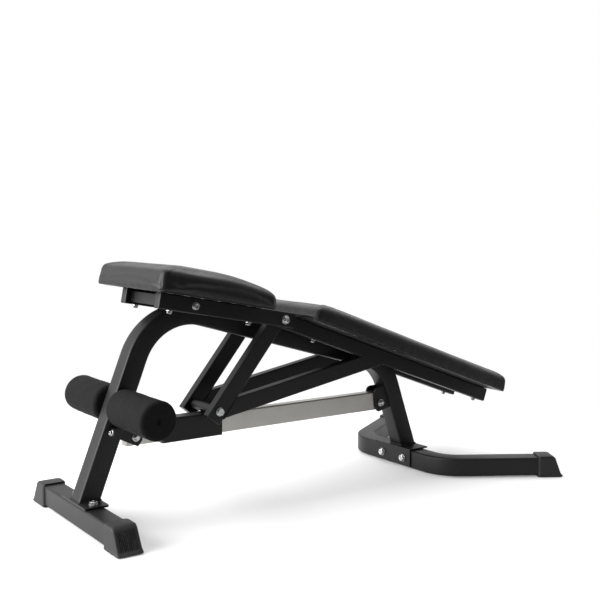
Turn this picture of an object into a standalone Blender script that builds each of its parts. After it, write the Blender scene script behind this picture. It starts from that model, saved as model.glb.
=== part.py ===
"""Adjustable weight bench: seat and back pads on a bent square-tube frame, with a sliding link carriage.

Metres, +Z up, +X toward the head end, the rear base at -X. Dimensions below are in millimetres and are
converted once, in V(). Profiles are given as (x, z) in the side plane, measured from the rear base tube's
outer face and from the floor.
"""
import math
import bpy
import bmesh
from mathutils import Vector, Matrix

for old in list(bpy.data.objects):
    bpy.data.objects.remove(old, do_unlink=True)

# ---------------------------------------------------------------- driving dimensions (mm)
X_MID = 636.47           # side-plane x of the overall middle, which becomes world x = 0
TUBE = 50.0              # square tube of the frame and both bases
TUBE_R = 5.0             # outside corner radius of that tube
GAP = 0.3                # clearance between touching pieces
BASE_Z = 4.0             # underside of the base tubes above the floor
REAR_HALF = 205.0        # half length of the rear base tube
REAR_CAP_IN = REAR_HALF - 27.0   # inner end of a rear foot cap, from the mid plane
FRONT_X = 987.0          # centre line of the front base's middle part
FRONT_CORNER_Y = 173.4   # where the middle part's and an arm's centre lines cross
FRONT_SPLAY = 32.0       # degrees of an arm from the X axis
FRONT_ARM = 286.0        # arm length from that crossing to the tube's end
LEG_R = (33.1, 64.3)     # rear leg foot, on the centre line
CORNER_R = (203.8, 502.4)
CORNER_F = (911.0, 302.6)
LEG_F = (995.5, 63.5)
BEND_R = 145.0           # centre line radius of the rear bend
BEND_F = 132.0           # centre line radius of the front bend
RAIL_Z = 195.5           # mid height of the guide rail
RAIL_H = 50.0
RAIL_W = 30.0
RAIL_X = (128.0, 906.0)
SLEEVE_X = (221.0, 383.0)
SLEEVE_WALL = 4.5
SEAT_PIVOT = (265.6, 499.6)
SEAT_ANGLE = 10.6        # degrees the seat falls toward the head end
SEAT_TO_HINGE = 256.9    # pivot to back hinge, along the seat rails
BACK_ANGLE = 20.2        # degrees the back falls toward the head end
LINK = (343.9, 237.8)    # axis of the arms' lower joint
BAR_D = 38.0             # depth of a pad rail
ARM_D = 41.0             # depth of an arm
BAR_W = 25.0             # width of pad rails and arms
BACK_Y = 62.5            # centre plane of a back rail and of the arms
SEAT_Y = 88.7            # centre plane of a seat rail
SEAT_RAIL_U = (-93.2, 283.9)
BACK_RAIL_S = (-29.0, 787.0)
SEAT_PAD_U = (-135.0, 184.0)
BACK_PAD_S = (44.0, 781.0)
SEAT_PAD_HALF = 177.0    # half width of the seat pad
BACK_PAD_HALF = 160.0    # half width of the back pad
SEAT_PAD_T = 56.0        # seat pad's thickness, board included
BACK_PAD_T = 46.0        # back pad's thickness, board included
SEAT_CROWN = 10.0        # rise of the seat pad's top toward its middle
BACK_CROWN = 6.0         # the same for the back pad
PAD_CORNER = 18.0
BOARD_T = 12.0
SEAT_FALL = (20.0, 150.0)   # fall of the seat pad's top toward the hinge, and over what length
BACK_FALL = (10.0, 70.0)    # the same for the back pad
ROLLER_AXIS = (112.0, 267.0)
ROLLER_R = 44.5
ROLLER_Y = (31.0, 217.0)
ROD_R = 12.5
PIN_X = 252.0            # pull pin on the far side of the sleeve
PIVOT_R = 14.0
CROSS_R = 12.0

MATERIALS = {
    "powder_coat": ((0.012, 0.012, 0.013, 1.0), 0.0, 0.42),
    "zinc": ((0.62, 0.62, 0.6, 1.0), 1.0, 0.32),
    "brushed_steel": ((0.55, 0.55, 0.53, 1.0), 1.0, 0.3),
    "vinyl": ((0.012, 0.012, 0.013, 1.0), 0.0, 0.38),
    "plywood": ((0.035, 0.028, 0.022, 1.0), 0.0, 0.7),
    "foam": ((0.01, 0.01, 0.01, 1.0), 0.0, 0.9),
    "moulded_plastic": ((0.016, 0.016, 0.017, 1.0), 0.0, 0.55),
}


# ---------------------------------------------------------------- geometry helpers
def V(x, y, z):
    return Vector(((x - X_MID) * 0.001, y * 0.001, z * 0.001))


def make(name, verts, faces, kind, origin=None, smooth=True):
    bm = bmesh.new()
    vs = [bm.verts.new(v) for v in verts]
    for f in faces:
        bm.faces.new([vs[i] for i in f])
    bmesh.ops.recalc_face_normals(bm, faces=bm.faces)
    mesh = bpy.data.meshes.new(name)
    bm.to_mesh(mesh)
    bm.free()
    ob = bpy.data.objects.new(name, mesh)
    bpy.context.scene.collection.objects.link(ob)
    color, metal, rough = MATERIALS[kind]
    mat = bpy.data.materials.new(name + "_material")
    mat.use_nodes = True
    bsdf = mat.node_tree.nodes["Principled BSDF"]
    bsdf.inputs["Base Color"].default_value = color
    bsdf.inputs["Metallic"].default_value = metal
    bsdf.inputs["Roughness"].default_value = rough
    mesh.materials.append(mat)
    if origin is not None:
        mesh.transform(Matrix.Translation(-origin))
        ob.location = origin
    if smooth:
        mesh.shade_smooth()
        mesh.set_sharp_from_angle(angle=math.radians(35))
    return ob


def loft(name, rings, kind, origin=None, closed=False):
    """Skin equal-length rings; the two ends are capped unless the rings close on themselves."""
    n = len(rings[0])
    verts = [v for ring in rings for v in ring]
    faces = []
    count = len(rings)
    for i in range(count if closed else count - 1):
        a = i * n
        b = ((i + 1) % count) * n
        for j in range(n):
            k = (j + 1) % n
            faces.append((a + j, a + k, b + k, b + j))
    if not closed:
        faces.append(tuple(reversed(range(n))))
        faces.append(tuple(range((count - 1) * n, count * n)))
    return make(name, verts, faces, kind, origin)


def rounded(w, h, r, seg=3):
    """Corner-rounded rectangle, centred, as (a, b) pairs."""
    pts = []
    for cx, cy, a0 in ((1, 1, 0), (-1, 1, 90), (-1, -1, 180), (1, -1, 270)):
        for i in range(seg + 1):
            a = math.radians(a0 + 90.0 * i / seg)
            pts.append((cx * (w / 2 - r) + r * math.cos(a), cy * (h / 2 - r) + r * math.sin(a)))
    return pts


def fillet_path(points, radii, seg=12):
    """Polyline whose inner corners are arcs; returns (point, tangent) pairs."""
    out = [(Vector(points[0]), (Vector(points[1]) - Vector(points[0])).normalized())]
    for i, r in enumerate(radii, start=1):
        p0, p1, p2 = Vector(points[i - 1]), Vector(points[i]), Vector(points[i + 1])
        d0, d1 = (p1 - p0).normalized(), (p2 - p1).normalized()
        turn = math.atan2(d0.x * d1.y - d0.y * d1.x, d0.dot(d1))
        t = r * math.tan(abs(turn) / 2)
        side = Vector((-d0.y, d0.x)) * (1 if turn > 0 else -1)
        centre = p1 - d0 * t + side * r
        for k in range(seg + 1):
            a = turn * k / seg
            c, s = math.cos(a), math.sin(a)
            rad = -side
            out.append((centre + Vector((rad.x * c - rad.y * s, rad.x * s + rad.y * c)) * r,
                        Vector((d0.x * c - d0.y * s, d0.x * s + d0.y * c))))
    out.append((Vector(points[-1]), (Vector(points[-1]) - Vector(points[-2])).normalized()))
    return out


def on_plane(point, direction, plane):
    """Slide a 2-D point along a direction until it lies on the line through plane[0] with normal plane[1]."""
    p0, normal = Vector(plane[0]), Vector(plane[1])
    return point + direction * ((p0 - point).dot(normal) / direction.dot(normal))


def side_sweep(name, path, depth, width, y, kind, corner=3.0, cut_a=None, cut_b=None, origin=None, seg=3):
    """Rounded-rectangle bar whose centre line lies in a side plane; ends may be cut on a slant."""
    section = rounded(depth, width, corner, seg)
    rings = []
    for i, (p, t) in enumerate(path):
        side = Vector((-t.y, t.x))
        ring = []
        for a, b in section:
            q = p + side * a
            if i == 0 and cut_a:
                q = on_plane(q, t, cut_a)
            if i == len(path) - 1 and cut_b:
                q = on_plane(q, t, cut_b)
            ring.append(V(q.x, y + b, q.y))
        rings.append(ring)
    return loft(name, rings, kind, origin)


def bar(name, a, b, depth, width, y, kind, **options):
    d = (Vector(b) - Vector(a)).normalized()
    return side_sweep(name, [(Vector(a), d), (Vector(b), d)], depth, width, y, kind, **options)


def plate(name, polygon, y0, y1, kind, origin=None):
    """Side-plane polygon extruded from y0 to y1."""
    rings = [[V(x, y, z) for x, z in polygon] for y in (y0, y1)]
    return loft(name, rings, kind, origin)


def block(name, x, y, z, kind, corner=2.0, origin=None):
    """Upright box with rounded vertical edges."""
    w, d = x[1] - x[0], y[1] - y[0]
    ring = rounded(w, d, corner)
    cx, cy = sum(x) / 2, sum(y) / 2
    rings = [[V(cx + a, cy + b, h) for a, b in ring] for h in z]
    return loft(name, rings, kind, origin)


def frame_of(axis):
    axis = Vector(axis).normalized()
    helper = Vector((0, 0, 1)) if abs(axis.z) < 0.9 else Vector((1, 0, 0))
    u = axis.cross(helper).normalized()
    return u, axis.cross(u), axis


def lathe(name, base, axis, profile, kind, seg=32, origin=None, closed=False, hexes=()):
    """Turn (radius, height) pairs about an axis; ring numbers in hexes get six flats."""
    u, v, w = frame_of(axis)
    rings = []
    for i, (r, h) in enumerate(profile):
        ring = []
        for k in range(seg):
            a = 2 * math.pi * k / seg
            rr = r
            if i in hexes:
                b = (a % (math.pi / 3)) - math.pi / 6
                rr = r * math.cos(math.pi / 6) / math.cos(b)
            ring.append(base + (u * (math.cos(a) * rr) + v * (math.sin(a) * rr) + w * h) * 0.001)
        rings.append(ring)
    return loft(name, rings, kind, origin, closed)


def bolt(name, seat, axis, length, head=9.5, shank=4.6, origin=None, kind="zinc", washer=10.5):
    """Hex bolt and washer as one body; the washer lies on the seat point, the shank runs against the axis."""
    profile = [(shank, -length), (shank, GAP), (washer, GAP), (washer, GAP + 1.6), (head, GAP + 1.6),
               (head, GAP + 6.4), (head * 0.8, GAP + 7.6), (head * 0.3, GAP + 7.9)]
    return lathe(name, seat, axis, profile, kind, 24, origin, hexes=(4, 5))


def through_bolt(name, side, half, radius, origin=None, head=10.0):
    """One bolt across the bench with a head at one end and a nut at the other."""
    out = half + GAP
    profile = [(head * 0.5, -out - 9.5), (head, -out - 8.0), (head, -out - 1.6), (head + 1.5, -out - 1.6),
               (head + 1.5, -out), (radius, -out), (radius, out), (head + 1.5, out),
               (head + 1.5, out + 1.6), (head, out + 1.6), (head, out + 7.2), (head * 0.7, out + 8.4)]
    return lathe(name, V(side[0], 0, side[1]), (0, -1, 0), profile, "zinc", 24, origin, hexes=(1, 2, 9, 10))


def cut(ob, cutters):
    """Subtract cutter bodies from an object and remove them."""
    for tool in cutters:
        mod = ob.modifiers.new("cut", "BOOLEAN")
        mod.operation = "DIFFERENCE"
        mod.solver = "EXACT"
        mod.object = tool
    bpy.context.view_layer.update()
    deps = bpy.context.evaluated_depsgraph_get()
    fresh = bpy.data.meshes.new_from_object(ob.evaluated_get(deps))
    ob.modifiers.clear()
    old = ob.data
    fresh.name = old.name
    ob.data = fresh
    bpy.data.meshes.remove(old)
    for tool in cutters:
        bpy.data.objects.remove(tool, do_unlink=True)
    fresh.shade_smooth()
    fresh.set_sharp_from_angle(angle=math.radians(35))
    return ob


def drill(base, axis, radius, length, seg=24):
    """Cylinder cutter running both ways from its base point."""
    tool = lathe("drill", base, axis, [(radius, -length), (radius, length)], "zinc", seg)
    tool.hide_render = True
    tool.display_type = "WIRE"
    return tool


def bore_down(base, axis, radius, depth, out=5.0, seg=24):
    """Cylinder cutter for a blind hole, against the axis."""
    tool = lathe("drill", base, axis, [(radius, -depth), (radius, out)], "zinc", seg)
    tool.hide_render = True
    tool.display_type = "WIRE"
    return tool


# ---------------------------------------------------------------- side-plane frames of the moving parts
SA = math.radians(SEAT_ANGLE)
BA = math.radians(BACK_ANGLE)
SEAT_DIR = Vector((math.cos(SA), -math.sin(SA)))
SEAT_UP = Vector((math.sin(SA), math.cos(SA)))
BACK_DIR = Vector((math.cos(BA), -math.sin(BA)))
BACK_UP = Vector((math.sin(BA), math.cos(BA)))
S1 = Vector(SEAT_PIVOT)
HINGE = S1 + SEAT_DIR * SEAT_TO_HINGE
L = Vector(LINK)


def seat_at(u, n):
    return S1 + SEAT_DIR * u + SEAT_UP * n


def back_at(s, n):
    return HINGE + BACK_DIR * s + BACK_UP * n


O_SEAT = V(S1.x, 0, S1.y)
O_BACK = V(HINGE.x, 0, HINGE.y)
O_CAR = V(L.x, 0, L.y)
AXIS3 = lambda d: Vector((d.x, 0, d.y))
SIDES = (("near", -1), ("far", 1))
BASE_TOP = BASE_Z + TUBE

# ---------------------------------------------------------------- rear base
rear_tube = loft("rear_base_tube", [[V(TUBE / 2 + a, y, BASE_Z + TUBE / 2 + b) for a, b in
                 rounded(TUBE, TUBE, TUBE_R)] for y in (-REAR_HALF, REAR_HALF)], "powder_coat")
PLATE_T = 5.0
rear_plate = block("rear_base_plate", (0.0, 58.0), (-70.0, 70.0), (BASE_TOP + GAP, BASE_TOP + GAP + PLATE_T),
                   "powder_coat", 4.0)
plate_top = BASE_TOP + GAP + PLATE_T
REAR_BOLT_Y = 48.0
for side, s in SIDES:
    seat = V(29.0, s * REAR_BOLT_Y, plate_top)
    bolt("rear_base_bolt_" + side, seat, (0, 0, 1), 26.0)
cut(rear_plate, [drill(V(29.0, s * REAR_BOLT_Y, plate_top), (0, 0, 1), 4.9, 20) for _, s in SIDES])
cut(rear_tube, [bore_down(V(29.0, s * REAR_BOLT_Y, BASE_TOP), (0, 0, 1), 4.9, 24) for _, s in SIDES])


def foot_cap(name, centre, direction, start, top_len, bottom_len, pocket):
    """Moulded foot over a base tube's end: a slanting end face, walls round the tube and a solid nose."""
    d = Vector((direction[0], direction[1], 0)).normalized()
    n = Vector((-d.y, d.x, 0))
    half = TUBE / 2 + 4.0
    top = BASE_TOP + 4.0
    ring_low = rounded(2 * half + 4.0, bottom_len, 7.0)
    ring_top = rounded(2 * half - 2.0, top_len, 7.0)

    def ring(shape, length, z):
        return [centre + (n * a + d * (start + length / 2 + b)) * 0.001 + Vector((0, 0, z * 0.001))
                for a, b in shape]

    rings = [ring(rounded(2 * half - 2.0, bottom_len - 6.0, 6.0), bottom_len - 2.0, 0.0),
             ring(ring_low, bottom_len, 3.0),
             ring(rounded(2 * half + 2.0, bottom_len - 6.0, 7.0), bottom_len - 6.0, 10.0),
             ring(rounded(2 * half, top_len + 6.0, 7.0), top_len + 6.0, top - 6.0),
             ring(ring_top, top_len, top - 1.0),
             ring(rounded(2 * half - 6.0, top_len - 5.0, 6.0), top_len - 1.0, top)]
    cap = loft(name, rings, "moulded_plastic")
    inner = rounded(TUBE + 2 * GAP, TUBE + 2 * GAP, TUBE_R + GAP)
    tool_rings = [[centre + (n * a + d * t) * 0.001 + Vector((0, 0, (BASE_Z + TUBE / 2 + b) * 0.001))
                   for a, b in inner] for t in (start - 12.0, start + pocket)]
    tool = loft("pocket", tool_rings, "moulded_plastic")
    tool.hide_render = True
    tool.display_type = "WIRE"
    return cut(cap, [tool])


for side, s in SIDES:
    foot_cap("rear_foot_cap_" + side, V(TUBE / 2, 0, 0), (0, s), REAR_CAP_IN, 42.0, 76.0,
             REAR_HALF - REAR_CAP_IN + 1.0)

# ---------------------------------------------------------------- front base
splay = math.radians(FRONT_SPLAY)
arm_dir = Vector((math.cos(splay), math.sin(splay)))
near_dir = Vector((arm_dir.x, -arm_dir.y))
far_corner = Vector((FRONT_X, FRONT_CORNER_Y))
near_corner = Vector((FRONT_X, -FRONT_CORNER_Y))
near_tip = near_corner + near_dir * FRONT_ARM
far_tip = far_corner + arm_dir * FRONT_ARM
plan = fillet_path([near_tip, near_corner, far_corner, far_tip], [100.0, 100.0], 10)
rings = []
for p, t in plan:
    side = Vector((-t.y, t.x))
    rings.append([V(p.x + side.x * a, p.y + side.y * a, BASE_Z + TUBE / 2 + b) for a, b in
                  rounded(TUBE, TUBE, TUBE_R)])
front_tube = loft("front_base_tube", rings, "powder_coat")
for side, s in SIDES:
    corner = V(FRONT_X, s * FRONT_CORNER_Y, 0)
    foot_cap("front_foot_cap_" + side, corner, (arm_dir.x, s * arm_dir.y), FRONT_ARM - 27.0, 42.0, 69.0, 28.0)

SADDLE_T = 4.0
saddle_x = FRONT_X - TUBE / 2 - GAP
saddle_poly = [(saddle_x - SADDLE_T, BASE_Z + 4.0), (saddle_x, BASE_Z + 4.0), (saddle_x, BASE_TOP + GAP),
               (FRONT_X + 37.0, BASE_TOP + GAP), (FRONT_X + 37.0, BASE_TOP + GAP + SADDLE_T),
               (saddle_x - SADDLE_T, BASE_TOP + GAP + SADDLE_T)]
saddle = plate("front_saddle", saddle_poly, -74.0, 74.0, "powder_coat")
SADDLE_BOLT_Y = 44.0
saddle_face = saddle_x - SADDLE_T
for side, s in SIDES:
    bolt("front_saddle_bolt_" + side, V(saddle_face, s * SADDLE_BOLT_Y, 29.0), (-1, 0, 0), 24.0)
cut(saddle, [drill(V(saddle_face, s * SADDLE_BOLT_Y, 29.0), (-1, 0, 0), 4.9, 10) for _, s in SIDES])
tube_face = FRONT_X - TUBE / 2
cut(front_tube, [bore_down(V(tube_face, s * SADDLE_BOLT_Y, 29.0), (-1, 0, 0), 4.9, 22) for _, s in SIDES])

# ---------------------------------------------------------------- main frame tube
foot_cut_r = ((0.0, plate_top + GAP), (0.0, 1.0))
foot_cut_f = ((0.0, BASE_TOP + 2 * GAP + SADDLE_T), (0.0, 1.0))
main_path = fillet_path([LEG_R, CORNER_R, CORNER_F, LEG_F], [BEND_R, BEND_F], 14)
main = side_sweep("main_frame_tube", main_path, TUBE, TUBE, 0.0, "powder_coat", TUBE_R,
                  foot_cut_r, foot_cut_f)
leg_dir = (Vector(CORNER_R) - Vector(LEG_R)).normalized()
leg_out = Vector((-leg_dir.y, leg_dir.x))
fleg_dir = (Vector(CORNER_F) - Vector(LEG_F)).normalized()
fleg_in = Vector((-fleg_dir.y, fleg_dir.x))


def on_rear_leg(z, offset):
    """Point at a height on the line parallel to the rear leg, offset mm outward (toward -X)."""
    p = Vector(LEG_R) + leg_out * offset
    return p + leg_dir * ((z - p.y) / leg_dir.y)


def on_front_leg(z, offset):
    """Point at a height on the line parallel to the front leg, offset mm toward the rear."""
    p = Vector(LEG_F) + fleg_in * offset
    return p + fleg_dir * ((z - p.y) / fleg_dir.y)


LUG_X = (84.0, 100.0)
LUG_Y = (-43.0, -TUBE / 2 - GAP)
LUG_Z = (202.6, 223.0)
lug = block("rear_leg_lug", LUG_X, LUG_Y, LUG_Z, "powder_coat", 1.5)
lug_face = V(LUG_X[0], -35.0, sum(LUG_Z) / 2)
bolt("rear_leg_bolt", lug_face, (-1, 0, 0), 12.0, 7.5, 3.9, washer=8.0)
cut(lug, [bore_down(lug_face, (-1, 0, 0), 4.2, 13.5, seg=20)])
pivot_at = V(S1.x, 0, S1.y)
cut(main, [drill(V(ROLLER_AXIS[0], 0, ROLLER_AXIS[1]), (0, 1, 0), ROD_R + GAP, 40, 32),
           drill(pivot_at, (0, 1, 0), PIVOT_R + GAP, 40, 40)])
lathe("seat_pivot_tube", pivot_at, (0, 1, 0), [(6.7, -75.5), (PIVOT_R, -75.5), (PIVOT_R, 75.5), (6.7, 75.5)],
      "powder_coat", 40, closed=True)
lathe("roller_rod", V(ROLLER_AXIS[0], 0, ROLLER_AXIS[1]), (0, 1, 0),
      [(ROD_R - 2, -206), (ROD_R, -204), (ROD_R, 204), (ROD_R - 2, 206)], "powder_coat", 32)

# ---------------------------------------------------------------- guide rail and its brackets
rail = bar("guide_rail", (RAIL_X[0], RAIL_Z), (RAIL_X[1], RAIL_Z), RAIL_H, RAIL_W, 0.0, "brushed_steel",
           corner=3.0)
inner = RAIL_W / 2 + GAP
BRACKET_T = 4.5


def wall(leg_point, z0, z1, offset):
    return [tuple(leg_point(z0, offset)), tuple(leg_point(z1, offset))]


rear_back = wall(on_rear_leg, 191.0, 238.0, -TUBE / 2 - GAP)
rear_poly = [rear_back[0], (155.0, 168.5), (166.0, 183.0), (163.0, 214.0), (146.0, 222.0), rear_back[1]]
rear_bracket = plate("rear_rail_bracket", rear_poly, -inner - BRACKET_T, inner + BRACKET_T, "powder_coat")
in_a = on_rear_leg(150.0, -TUBE / 2 - GAP - 5.0)
in_b = on_rear_leg(260.0, -TUBE / 2 - GAP - 5.0)
slot = plate("slot", [tuple(in_a), (200.0, 150.0), (200.0, 260.0), tuple(in_b)], -inner, inner, "zinc")
REAR_RAIL_BOLT = (150.0, 191.5)
cut(rear_bracket, [slot, drill(V(REAR_RAIL_BOLT[0], 0, REAR_RAIL_BOLT[1]), (0, 1, 0), 5.3, 60)])
through_bolt("rear_rail_bolt", REAR_RAIL_BOLT, inner + BRACKET_T, 5.0, head=8.5)

ear_top = on_front_leg(234.0, TUBE / 2 + GAP)
ear_low = on_front_leg(175.0, TUBE / 2 + GAP)
ear_poly = [tuple(ear_top), (886.0, 233.0), (878.0, 229.0), (874.0, 221.0), (875.0, 205.0), (878.0, 180.0),
            (882.0, 170.0), (889.0, 165.0), tuple(ear_low)]
ears = plate("front_rail_ears", ear_poly, -inner - BRACKET_T, inner + BRACKET_T, "powder_coat")
in_c = on_front_leg(150.0, TUBE / 2 + GAP + 5.0)
in_d = on_front_leg(260.0, TUBE / 2 + GAP + 5.0)
slot = plate("slot", [tuple(in_c), (820.0, 150.0), (820.0, 260.0), tuple(in_d)], -inner, inner, "zinc")
FRONT_RAIL_BOLT = (896.0, 189.5)
cut(ears, [slot, drill(V(FRONT_RAIL_BOLT[0], 0, FRONT_RAIL_BOLT[1]), (0, 1, 0), 5.3, 60)])
through_bolt("front_rail_bolt", FRONT_RAIL_BOLT, inner + BRACKET_T, 5.0, head=8.5)
holes = [drill(V(REAR_RAIL_BOLT[0], 0, REAR_RAIL_BOLT[1]), (0, 1, 0), 5.3, 60),
         drill(V(FRONT_RAIL_BOLT[0], 0, FRONT_RAIL_BOLT[1]), (0, 1, 0), 5.3, 60)]
for i in range(9):
    holes.append(bore_down(V(PIN_X + 45.0 * i, RAIL_W / 2, RAIL_Z), (0, 1, 0), 5.5, 12, seg=20))
cut(rail, holes)

# ---------------------------------------------------------------- link carriage on the rail
open_h, open_w = RAIL_H + 1.0, RAIL_W + 1.0
outer_sec = rounded(open_h + 2 * SLEEVE_WALL, open_w + 2 * SLEEVE_WALL, 4.0)
inner_sec = rounded(open_h, open_w, 3.2)
rings = []
sleeve_a, sleeve_b = SLEEVE_X
for sec, x in ((inner_sec, sleeve_a), (outer_sec, sleeve_a), (outer_sec, sleeve_b), (inner_sec, sleeve_b)):
    rings.append([V(x, b, RAIL_Z + a) for a, b in sec])
sleeve = loft("carriage_sleeve", rings, "powder_coat", O_CAR, closed=True)
sleeve_half_w = open_w / 2 + SLEEVE_WALL
cut(sleeve, [bore_down(V(PIN_X, sleeve_half_w, RAIL_Z), (0, 1, 0), 5.4, 6, seg=20)])
cross_half = BACK_Y - BAR_W / 2 - 0.6
lathe("carriage_cross_tube", V(L.x, 0, L.y), (0, 1, 0),
      [(6.0, -cross_half), (CROSS_R, -cross_half), (CROSS_R, cross_half), (6.0, cross_half)],
      "powder_coat", 36, O_CAR, closed=True)
lathe("pin_housing", V(PIN_X, sleeve_half_w + GAP, RAIL_Z), (0, 1, 0),
      [(5.3, 0), (12.0, 0), (12.0, 5.0), (10.0, 6.0), (10.0, 20.0), (9.0, 21.0), (5.3, 21.0)],
      "zinc", 28, O_CAR, closed=True)
O_PIN = V(PIN_X, sleeve_half_w, RAIL_Z)
pin_tip = RAIL_W / 2 + 0.2
lathe("pull_pin", V(PIN_X, 0, RAIL_Z), (0, 1, 0),
      [(3.6, pin_tip), (4.9, pin_tip + 2.0), (4.9, 46.0), (4.6, 46.4)], "zinc", 24, O_PIN)
lathe("pin_knob", V(PIN_X, 0, RAIL_Z), (0, 1, 0),
      [(11.0, 46.8), (15.0, 49.0), (16.0, 55.0), (14.0, 62.0), (15.5, 68.0), (12.0, 73.0), (5.0, 75.0)],
      "moulded_plastic", 28, O_PIN)

# ---------------------------------------------------------------- foam rollers
for side, s in SIDES:
    o = V(ROLLER_AXIS[0], 0, ROLLER_AXIS[1])
    y0, y1 = ROLLER_Y
    r = ROLLER_R
    lathe("foam_roller_" + side, o, (0, s, 0),
          [(ROD_R + 0.6, y0), (r - 5, y0), (r - 1.5, y0 + 1.5), (r, y0 + 5), (r, y1 - 7), (r - 2, y1 - 2.5),
           (r - 6, y1), (ROD_R + 6, y1 - 1.0), (ROD_R + 0.6, y1 - 5.0)], "foam", 48, o, closed=True)


# ---------------------------------------------------------------- pads
def waterfall(from_end, h, fall, thick):
    """Height after the top's fall toward the hinge end, which steepens as the end comes near."""
    drop, run = fall
    base = BAR_D / 2 + GAP + BOARD_T
    if h <= base or from_end >= run:
        return h
    t = 1.0 - max(from_end, 0.0) / run
    return h - drop * t ** 1.8 * (h - base) / (thick - BOARD_T)


def pad_rings(at, ends, half, thick, shape, fall=(0.0, 1.0), hinge_end=1, straight=1):
    """Rings of rounded rectangles in a pad's own frame; shape holds (inset, height) pairs."""
    mid, length = (ends[0] + ends[1]) / 2, ends[1] - ends[0]
    rings = []
    for inset, h in shape:
        r = max(PAD_CORNER - inset, 4.0)
        corners = rounded(length - 2 * inset, 2 * half - 2 * inset, r, 5)
        outline = []
        for i, (a, b) in enumerate(corners):
            a2, b2 = corners[(i + 1) % len(corners)]
            pieces = straight if abs(a2 - a) > 2.5 * PAD_CORNER else 1
            outline += [(a + (a2 - a) * k / pieces, b) for k in range(pieces)]
        ring = []
        for a, b in outline:
            q = at(mid + a, waterfall(length / 2 - hinge_end * a, h, fall, thick))
            ring.append(V(q.x, b, q.y))
        rings.append(ring)
    return rings


def pad(prefix, at, ends, half, t, crown, fall, hinge_end, origin):
    base = BAR_D / 2 + GAP
    wrap = 5.0
    board_rings = pad_rings(at, ends, half, t, [(wrap, base), (wrap, base + BOARD_T)])
    board = loft(prefix + "_board", board_rings, "plywood", origin)
    low = base + 0.5
    rise = base + t
    shape = [(wrap - GAP - 0.2, base + BOARD_T + GAP), (wrap - GAP - 0.2, low), (2.5, low), (0.6, low + 3),
             (-0.6, base + t * 0.45), (0.0, rise - 13), (2.2, rise - 6.5), (6.5, rise - 2.2), (13, rise),
             (40, rise + crown * 0.55), (80, rise + crown * 0.9), (130, rise + crown)]
    rings = pad_rings(at, ends, half, t, shape, fall, hinge_end, 14)
    cushion = loft(prefix + "_cushion", rings, "vinyl", origin)
    return board, cushion


seat_board, seat_cushion = pad("seat", seat_at, SEAT_PAD_U, SEAT_PAD_HALF, SEAT_PAD_T, SEAT_CROWN, SEAT_FALL,
                               1, O_SEAT)
back_board, back_cushion = pad("back", back_at, BACK_PAD_S, BACK_PAD_HALF, BACK_PAD_T, BACK_CROWN, BACK_FALL,
                               -1, O_BACK)

# ---------------------------------------------------------------- seat frame
SCREW_U = (-58.0, 158.0)
SCREW_S = (126.0, 752.0)
for side, s in SIDES:
    y = s * SEAT_Y
    ob = bar("seat_rail_" + side, tuple(seat_at(SEAT_RAIL_U[0] + 3.3, 0)), tuple(seat_at(SEAT_RAIL_U[1], 0)),
             BAR_D, BAR_W, y, "powder_coat", origin=O_SEAT)
    drills = [drill(V(S1.x, y, S1.y), (0, 1, 0), 6.4, 30), drill(V(HINGE.x, y, HINGE.y), (0, 1, 0), 6.4, 30)]
    for u in SCREW_U:
        p = seat_at(u, -BAR_D / 2)
        drills.append(drill(V(p.x, y, p.y), AXIS3(SEAT_UP), 3.3, 50, 16))
    cut(ob, drills)
    d = SEAT_DIR
    bar("seat_rail_plug_" + side, tuple(seat_at(SEAT_RAIL_U[0], 0)), tuple(seat_at(SEAT_RAIL_U[0] + 3.0, 0)),
        BAR_D, BAR_W, y, "moulded_plastic", origin=O_SEAT)
    face = s * (SEAT_Y + BAR_W / 2)
    bolt("seat_pivot_bolt_" + side, V(S1.x, face, S1.y), (0, s, 0), 45.0, 10.0, 6.0, O_SEAT, washer=11.5)
    for i, u in enumerate(SCREW_U, start=1):
        p = seat_at(u, -BAR_D / 2)
        bolt("seat_pad_screw_%s_%d" % (side, i), V(p.x, y, p.y), -AXIS3(SEAT_UP), BAR_D + 8.0, 6.0, 3.0,
             O_SEAT, washer=8.0)
seat_cross = bar("seat_cross_member", tuple(seat_at(-75.0, 0)), tuple(seat_at(-48.0, 0)), 26.0,
                 2 * (SEAT_Y - BAR_W / 2 - GAP), 0.0, "powder_coat", origin=O_SEAT)
cut(seat_board, [bore_down(V(seat_at(u, BAR_D / 2).x, s * SEAT_Y, seat_at(u, BAR_D / 2).y), -AXIS3(SEAT_UP),
                           3.3, 9.0, seg=16) for u in SCREW_U for _, s in SIDES])

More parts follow.
